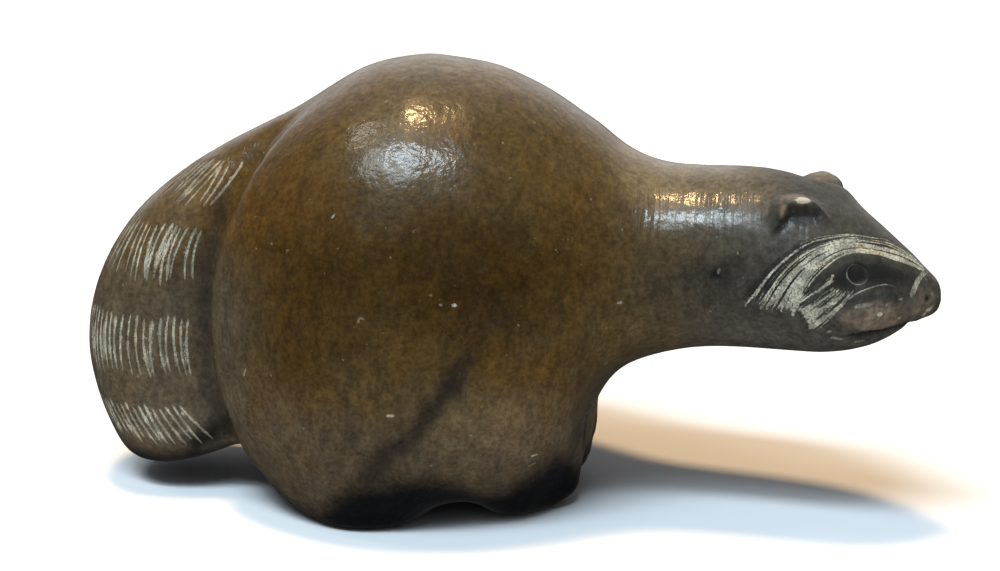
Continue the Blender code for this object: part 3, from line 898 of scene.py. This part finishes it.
def carve(obj, tree, samples, ears):
    """Cuts everything into the skin, and keeps on it what the material needs to know."""
    mesh = obj.data
    points, normals = values(mesh, "co") / MM, values(mesh, "normal")
    sink, shade = grooves(points, tree)
    head_sink, head_shade = carve_head(points, tree)
    pit = bump(distances(points, behind_nose(PIT)), PIT_SIZE)
    gap, across, cut, chalk = line_values(points, normals, samples)
    rise = polish(points) - sink - head_sink - PIT_DEPTH * pit - cut
    carved = points + normals * rise[:, None]
    carved[:, 2] = np.maximum(np.where(points[:, 2] < SOLE, points[:, 2], carved[:, 2]), 0)
    set_points(mesh, carved)
    # the height up to which painted shade lies under the body and feet
    under_shade_top = np.interp(points[:, 0] - REAR, *np.array(UNDER_SHADE_REACH).T)
    for name, numbers in (
        ("gap", gap), ("across", across), ("chalk", chalk),
        # painted shade in the grooves, folds and hollows, with the eyes, mouth, nostrils and pit
        ("shade", np.maximum.reduce([shade, head_shade, pit, ear_hollow(points, ears)])),
        # wear with painted light on the ear's rear rim; pale chips with a painted highlight on the ear's
        # upper rim
        ("worn_and_lit", head_patches(points, WORN, EAR_WORN_AND_LIT)), ("pale", head_patches(points, PALE, EAR_HIGHLIGHT)),
        # lighter and darker patches: painted light and shade, partly the stone's own tone
        ("tone", patched(points, LIGHT_AND_TONE_PATCHES)), ("warm", patched(points, WARM)),
        # painted shade, near black, under the body and feet
        ("under_shade", (under_shade_top - points[:, 2]) / UNDER_SHADE_SOFTNESS),
    ):
        attribute(mesh, name, numbers)
    for name, lane in (("mask", mask_lane), ("cheek", cheek_lane)):
        for kind, numbers in zip(("in", "along", "across"), band_place(points, band_lanes(tree, lane))):
            attribute(mesh, name + "_" + kind, numbers)
    mesh.shade_smooth()


# ---------------------------------------- material


class Nodes:
    """A short way to write a node tree: a number, a colour or a node's output goes in by socket name."""

    def __init__(self, tree):
        self.tree = tree

    def add(self, kind, output=0, settings=None, **inputs):
        node = self.tree.nodes.new(kind)
        for name, value in (settings or {}).items():
            setattr(node, name, value)
        for name, value in inputs.items():
            self.put(node, name.replace("_", " "), value)
        return node.outputs[output]

    def put(self, node, name, value):
        """Fills a socket, given by its name or by i and its number."""
        socket = node.inputs[int(name[1:])] if name[0] == "i" and name[1:].isdigit() else node.inputs[name]
        if isinstance(value, bpy.types.NodeSocket):
            self.tree.links.new(value, socket)
        else:
            socket.default_value = value

    def parts(self, vector):
        """The three numbers of a vector."""
        node = self.tree.nodes.new("ShaderNodeSeparateXYZ")
        self.put(node, "Vector", vector)
        return node.outputs

    def math(self, operation, *values):
        """One number from two or more, taken from the left."""
        def two(a, b):
            return self.add("ShaderNodeMath", settings={"operation": operation}, i0=a, i1=b)
        return reduce(two, values)

    times = partialmethod(math, "MULTIPLY")
    plus = partialmethod(math, "ADD")
    less = partialmethod(math, "SUBTRACT")
    most = partialmethod(math, "MAXIMUM")

    def ramp(self, value, low, high, start=0, end=1):
        """Smoothly from start to end as value goes from low to high."""
        return self.add("ShaderNodeMapRange", settings={"interpolation_type": "SMOOTHSTEP"}, Value=value,
                        From_Min=low, From_Max=high, To_Min=start, To_Max=end)

    def mix(self, share, a, b, blend="MIX"):
        return self.add("ShaderNodeMix", 2, {"data_type": "RGBA", "blend_type": blend}, i0=share, i6=a, i7=b)

    def scaled(self, colour, value):
        grey = self.add("ShaderNodeCombineColor", Red=value, Green=value, Blue=value)
        return self.mix(1, colour, grey, "MULTIPLY")

    def noise(self, vector, scale, detail, roughness):
        return self.add("ShaderNodeTexNoise", Vector=vector, Scale=scale, Detail=detail, Roughness=roughness)

    def stretched(self, vector, scale):
        return self.add("ShaderNodeMapping", Vector=vector, Scale=scale)

    def attribute(self, name):
        return self.add("ShaderNodeAttribute", output="Fac", settings={"attribute_name": name})


OLIVE = (0.069, 0.048, 0.016, 1)
BROWN = (0.067, 0.035, 0.006, 1)
DARK = (0.036, 0.023, 0.008, 1)
# tan on top of the neck, laid on where it faces up: partly painted light from above
TAN_AND_TOP_LIGHT = (0.160, 0.122, 0.070, 1)
CHARCOAL = (0.0375, 0.038, 0.0345, 1)
SHADE_BLACK = (0.0048, 0.0052, 0.0065, 1)  # painted shade: under the feet, in the grooves and between the mask's strokes
# a greyer film, and painted reflection of the floor low down and of the ceiling on top
FILM_AND_SHEEN = (0.078, 0.069, 0.054, 1)
# rubbed brown, and painted light on the ear's rear rim
WORN_AND_LIT_BROWN = (0.120, 0.095, 0.070, 1)
# pale chips, and the painted highlight on the ear's upper rim
PALE_CHIPS_AND_HIGHLIGHT = (0.50, 0.47, 0.37, 1)
POWDER_GREY = (0.33, 0.34, 0.285, 1)
POWDER_TAN = (0.34, 0.29, 0.20, 1)
SPECK = (0.23, 0.20, 0.15, 1)

# --- Noise: how many to the metre, detail and roughness ---
BROAD, PATCHES, FIBRES, GRAIN = (55, 4, 0.55), (150, 5, 0.65), (620, 5, 0.65), (1500, 4, 0.65)
CLOTS, SPECKS, SMEARS, GRIT = (420, 2, 0.5), (1000, 1, 0.4), (160, 4, 0.6), (2600, 2, 0.6)
GRAINS, FRESHNESS, FILE_MARKS, PORES = (3800, 2, 0.6), (420, 3, 0.6), (1100, 2, 0.5), (750, 2, 0.45)
STREAK, RAGGED_END = (1, 2, 0.5), (1, 1, 0.5)  # in numbers along and across a band of strokes
FIBRE_STRETCH, FILE_STRETCH = (1, 1, 0.45), (1, 0.12, 0.12)

# --- Where colours begin and end, in metres ahead of the middle or above the floor, and their strength ---
NECK_REAR, NECK_FRONT = (0.008, 0.022), (0.046, 0.036)
HAUNCH_REAR, HAUNCH_TOP = (-0.026, -0.038, 0, 0.6), (0.045, 0.030)
# low down and on top the film is painted reflection of the floor and of the ceiling
LOW_SHEEN, REAR_FILM, TOP_SHEEN = (0.027, 0.012, 0, 0.5), (-0.038, -0.046, 0, 0.34), (0.055, 0.064, 0, 0.4)
CHARCOAL_FROM, CHARCOAL_RAGGED = (0.010, 0.040, 0, 0.93), 0.016
BROWN_TOP = (0.045, 0.053, 0, 0.014)  # up here the charcoal begins this much further forward
HEAD_FROM = (0.031, 0.038)
FILED_REAR, FILED_FRONT = (0.004, 0.012), (0.048, 0.040)
RELIEF = 0.00009

# --- Bands of powder: streaks across and along, the noise a streak needs, and how much less further in ---
Powder = namedtuple("Powder", "streaks length thin fuller")
MASK_POWDER, CHEEK_POWDER = Powder(10.5, 2, 0.515, 0.1), Powder(8, 1, 0.5, 0.02)


def unsteady(n, value, cloud, reach):
    """A value moved up and down by a cloud of noise, so that an edge drawn from it is ragged."""
    return n.plus(value, n.times(n.less(cloud, 0.5), reach))


def body_colour(n, broad, patches, along, height, upward):
    """Mottled brown with tan along the top of the neck, partly painted light where it faces up, a greyer film
    behind, and a grey painted reflection of the floor low down and of the ceiling on top.
    """
    colour = n.mix(n.ramp(n.plus(broad, n.attribute("warm")), 0.32, 0.68), OLIVE, BROWN)
    colour = n.mix(n.times(n.ramp(patches, 0.4, 0.75), 0.45), colour, DARK)
    # more tan where the neck faces up: partly painted light from above
    neck = n.times(n.ramp(upward, 0.5, 0.95), n.ramp(along, *NECK_REAR), n.ramp(along, *NECK_FRONT))
    colour = n.mix(n.times(neck, n.ramp(patches, 0.25, 0.6, 0.6, 1)), colour, TAN_AND_TOP_LIGHT)
    haunch = n.times(n.ramp(along, *HAUNCH_REAR), n.ramp(height, *HAUNCH_TOP))
    # the film behind, with painted reflection low down and on top
    film_and_sheen = n.most(haunch, n.ramp(height, *LOW_SHEEN), n.ramp(along, *REAR_FILM), n.ramp(height, *TOP_SHEEN))
    return n.mix(n.times(film_and_sheen, n.ramp(patches, 0.3, 0.6, 0.7, 1)), colour, FILM_AND_SHEEN)


def stone_colour(n, place, along, height, upward):
    """The body's colours, charcoal on the head, near black painted shade under the feet, what is worn or
    chipped, and painted light on the ears' rims.
    """
    broad, patches, grain = (n.noise(place, *cloud) for cloud in (BROAD, PATCHES, GRAIN))
    colour = body_colour(n, broad, patches, along, height, upward)
    forward = unsteady(n, n.less(along, n.ramp(height, *BROWN_TOP)), broad, CHARCOAL_RAGGED)
    colour = n.mix(n.ramp(forward, *CHARCOAL_FROM), colour, CHARCOAL)
    # wear, and painted light on the ear's rear rim
    colour = n.mix(n.ramp(unsteady(n, n.attribute("worn_and_lit"), patches, 0.4), 0.2, 0.7), colour, WORN_AND_LIT_BROWN)
    # painted shade, near black, under the body and feet
    colour = n.mix(n.ramp(unsteady(n, n.attribute("under_shade"), broad, 1.2), -0.5, 0.5), colour, SHADE_BLACK)
    fibres = n.noise(n.stretched(place, FIBRE_STRETCH), *FIBRES)
    clots = n.ramp(n.noise(place, *CLOTS), 0.3, 0.7, 0.9, 1.11)
    # the patches of painted light and shade brighten or darken the stone
    tone = n.math("POWER", 2, n.attribute("tone"))
    flecks = n.times(n.ramp(grain, 0.34, 0.66, 0.75, 1.25), n.ramp(fibres, 0.3, 0.7, 0.8, 1.22), clots, tone)
    colour = n.scaled(colour, flecks)
    colour = n.mix(n.ramp(n.noise(place, *SPECKS), 0.75, 0.82, 0, 0.5), colour, SPECK)
    # pale chips, and the painted highlight on the ear's upper rim
    return n.mix(n.ramp(unsteady(n, n.attribute("pale"), grain, 0.7), 0.35, 0.6, 0, 0.9), colour, PALE_CHIPS_AND_HIGHLIGHT)


def line_powder(n, grit, grains):
    """How much scratched powder a place holds: it fills the lines, raggedly and in grains."""
    across = n.math("ABSOLUTE", n.attribute("across"), 0)
    core = n.ramp(unsteady(n, across, grit, 1.8), 1.35, 0.65)
    near = n.ramp(n.attribute("gap"), 2, 1.5)
    return n.times(core, near, n.ramp(grains, 0.36, 0.58, 0.45, 1), n.attribute("chalk"))


def band_powder(n, name, grains, band):
    """The powder of a band of strokes: long streaks with dark gaps, ragged at both ends."""
    along, across = n.attribute(name + "_along"), n.attribute(name + "_across")
    lanes = n.add("ShaderNodeCombineXYZ", X=n.times(across, band.streaks), Y=n.times(along, band.length))
    streak = n.plus(n.noise(lanes, *STREAK), n.times(n.less(grains, 0.5), 0.14))
    begins = n.ramp(across, 0.25, 0.7, band.thin, band.thin - band.fuller)
    ends = n.add("ShaderNodeCombineXYZ", X=n.times(across, band.streaks * 1.3), Z=7)
    ragged = n.times(n.noise(ends, *RAGGED_END), 0.2)
    return n.times(
        n.ramp(n.less(streak, begins), -0.025, 0.035),
        n.ramp(n.less(along, ragged), -0.10, -0.075), n.ramp(n.plus(along, ragged), 1.08, 1.04),
        n.ramp(across, -0.01, 0.02), n.ramp(across, 1.01, 0.97), n.ramp(n.attribute(name + "_in"), 0.5, 0.9),
    )


def mask_powder(n, grains):
    """The powder of the mask's two bands of strokes, in grains."""
    bands = n.most(band_powder(n, "mask", grains, MASK_POWDER), band_powder(n, "cheek", grains, CHEEK_POWDER))
    return n.times(bands, n.ramp(grains, 0.38, 0.56, 0.4, 0.95))


def mask_gap_shade(n):
    """Painted shade in the mask between its strokes."""
    across, along = n.attribute("mask_across"), n.attribute("mask_along")
    return n.times(n.attribute("mask_in"), n.ramp(across, -0.02, 0.03, 0, 0.45), n.ramp(across, 1.08, 1),
                   n.ramp(along, 0, 0.05))


def powder_colour(n, place, smears):
    """Grey or tan powder, brighter where it is fresh."""
    dust = n.mix(n.ramp(smears, 0.48, 0.66), POWDER_GREY, POWDER_TAN)
    return n.scaled(dust, n.ramp(n.noise(place, *FRESHNESS), 0.4, 0.62, 0.75, 1.5))


def relief(n, place, along, grit):
    """Fine scratches everywhere and file marks round the neck."""
    filed = n.times(n.ramp(along, *FILED_REAR), n.ramp(along, *FILED_FRONT))
    marks = n.times(n.noise(n.stretched(place, FILE_STRETCH), *FILE_MARKS), n.ramp(filed, 0, 1, 0.25, 1.4))
    height = n.plus(n.times(grit, 0.22), n.noise(place, *PORES), marks)
    return n.add("ShaderNodeBump", Strength=1, Distance=RELIEF, Height=height)


def soapstone():
    """Stone under a clear polish that is thinner on the head and where shade is painted."""
    material = bpy.data.materials.new(SLOT)
    material.use_nodes = True
    n = Nodes(material.node_tree)
    place = n.add("ShaderNodeTexCoord", output="Object")
    along, _, height = n.parts(place)
    upward = n.parts(n.add("ShaderNodeNewGeometry", output="Normal"))[2]
    grit, grains, smears = (n.noise(place, *cloud) for cloud in (GRIT, GRAINS, SMEARS))
    shade = n.ramp(unsteady(n, n.attribute("shade"), smears, 0.5), 0.1, 0.9, 0, 0.9)
    powder = n.most(line_powder(n, grit, grains), mask_powder(n, grains))
    # painted shade in the grooves, folds and hollows, then between the mask's strokes
    colour = n.mix(shade, stone_colour(n, place, along, height, upward), SHADE_BLACK)
    # painted shade between the mask's strokes
    colour = n.mix(mask_gap_shade(n), colour, SHADE_BLACK)
    colour = n.mix(powder, colour, powder_colour(n, place, smears))
    head = n.ramp(along, *HEAD_FROM)
    # duller where there is powder or painted shade
    dull_in_powder_and_shade = n.times(n.most(powder, shade), 0.35)
    dull = n.plus(n.ramp(smears, 0.3, 0.7, 0.25, 0.4), n.times(head, 0.15), dull_in_powder_and_shade)
    coat = n.times(n.ramp(head, 0, 1, 0.3, 0.08), n.ramp(shade, 0.2, 0.8, 1, 0.2))
    uneven = relief(n, place, along, grit)
    shader = material.node_tree.nodes["Principled BSDF"]
    for name, value in (
        ("Base Color", colour), ("Roughness", dull), ("Coat Weight", coat), ("Normal", uneven),
        ("Coat Normal", uneven), ("Specular IOR Level", 0.2), ("IOR", 1.5), ("Coat Roughness", 0.08),
    ):
        n.put(shader, name, value)
    return material


# ---------------------------------------- surroundings


FLOOR_HALF, FLOOR_COLOUR, FLOOR_ROUGHNESS = 6.0, (0.78, 0.80, 0.84, 1), 0.9


def floor():
    mesh = bpy.data.meshes.new("floor")
    corners = [(x * FLOOR_HALF, y * FLOOR_HALF, 0) for x, y in ((-1, -1), (1, -1), (1, 1), (-1, 1))]
    mesh.from_pydata(corners, [], [(0, 1, 2, 3)])
    obj = added("floor", mesh)
    material = bpy.data.materials.new("pale floor")
    material.use_nodes = True
    shader = material.node_tree.nodes["Principled BSDF"]
    shader.inputs["Base Color"].default_value = FLOOR_COLOUR
    shader.inputs["Roughness"].default_value = FLOOR_ROUGHNESS
    mesh.materials.append(material)
    obj.visible_glossy = False  # the polished stone mirrors the dark room, not the floor


# Lamps: direction, width and height in degrees as seen from the object, brightness and colour
Lamp = namedtuple("Lamp", "name direction wide high brightness colour")
COOL = (0.76, 0.91, 1.0)
LAMPS = (
    Lamp("window", (-0.20, -0.45, 0.88), 36.0, 14.0, 10.0, COOL),
    Lamp("bright pane", (-0.08, -0.41, 0.92), 26.0, 7.0, 31.0, COOL),
    Lamp("bulb", (-0.085, 0.02, 1.0), 7.0, 9.0, 120.0, (1.0, 0.66, 0.33)),
    Lamp("far window", (-0.51, -0.03, 0.86), 8.0, 10.0, 12.0, (1.0, 0.97, 0.8)),
)
LAMP_DISTANCE = 8.0
HORIZON, CEILING, RISE = 0.04, 0.28, (0.1, 0.9)  # brightness low down and overhead, and how it rises
BACK_WALL, WALL_SIDES, WALL_FOOT = 0.9, (0.3, 0.9), (-0.05, 0.1)


def aim(obj, location, way):
    """Puts an object in its place, looking against the direction way."""
    obj.location = location
    obj.rotation_euler = (-way).to_track_quat("-Z", "Y").to_euler()


def lamp(name, direction, wide, high, brightness, colour):
    """A flat soft light that shines at the middle of the object."""
    light = bpy.data.lights.new(name, "AREA")
    light.shape = "RECTANGLE"
    light.size, light.size_y = (2 * LAMP_DISTANCE * tan(radians(a) / 2) for a in (wide, high))
    light.energy = brightness * pi * light.size * light.size_y
    light.color = colour
    way = Vector(direction).normalized()
    middle = Vector((0, 0, (LOW[2] + HIGH[2]) / 2 * MM))
    aim(added(name, light), middle + way * LAMP_DISTANCE, way)


def room():
    """A half dark room with a pale ceiling. A bright wall behind the object is seen only in reflections."""
    world = bpy.context.scene.world or bpy.data.worlds.new("room")
    bpy.context.scene.world = world
    world.use_nodes = True
    n = Nodes(world.node_tree)
    _, inward, upward = n.parts(n.add("ShaderNodeTexCoord", output="Generated"))
    mirrored_only = n.add("ShaderNodeLightPath", output="Is Glossy Ray")
    wall = n.times(n.ramp(inward, *WALL_SIDES, 0, BACK_WALL), n.ramp(upward, *WALL_FOOT), mirrored_only)
    background = world.node_tree.nodes["Background"]
    n.put(background, "Color", (1, 1, 1, 1))
    n.put(background, "Strength", n.plus(wall, n.ramp(upward, *RISE, HORIZON, CEILING)))


def surroundings():
    for each in LAMPS:
        lamp(*each)
    room()
    bpy.context.scene.view_settings.view_transform = "Standard"


CAMERA_AZIMUTH, CAMERA_ELEVATION, CAMERA_DISTANCE = 8.0, 15.0, 320.0
CAMERA_TARGET = (-0.36, 0.0, 31.0)
CAMERA_NEAREST = 0.01  # metres
SENSOR = 36.0
VIEW_WIDTH = 147.06  # the width seen at the target


def camera():
    data = bpy.data.cameras.new("camera")
    data.sensor_width = SENSOR
    data.lens = SENSOR * CAMERA_DISTANCE / VIEW_WIDTH
    data.clip_start = CAMERA_NEAREST
    azimuth, elevation = radians(CAMERA_AZIMUTH), radians(CAMERA_ELEVATION)
    back = Vector((sin(azimuth) * cos(elevation), -cos(azimuth) * cos(elevation), sin(elevation)))
    obj = added("camera", data)
    aim(obj, (Vector(CAMERA_TARGET) + back * CAMERA_DISTANCE) * MM, back)
    bpy.context.scene.camera = obj


def raccoon():
    obj = even_skin("raccoon_carving")
    split_long_edges(obj.data, head_edge)
    ears = shape_forms(obj.data)
    tree = surface(obj.data)
    samples = line_samples(tail_lines(tree) + face_lines(tree) + nick_lines(tree))
    split_long_edges(obj.data, edge_near(tree_of(samples[:, :3])))
    carve(obj, tree, samples, ears)
    obj.data.materials.clear()
    obj.data.materials.append(soapstone())
    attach(obj, "root")
    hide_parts(NODE)


camera()
surroundings()
floor()
raccoon()
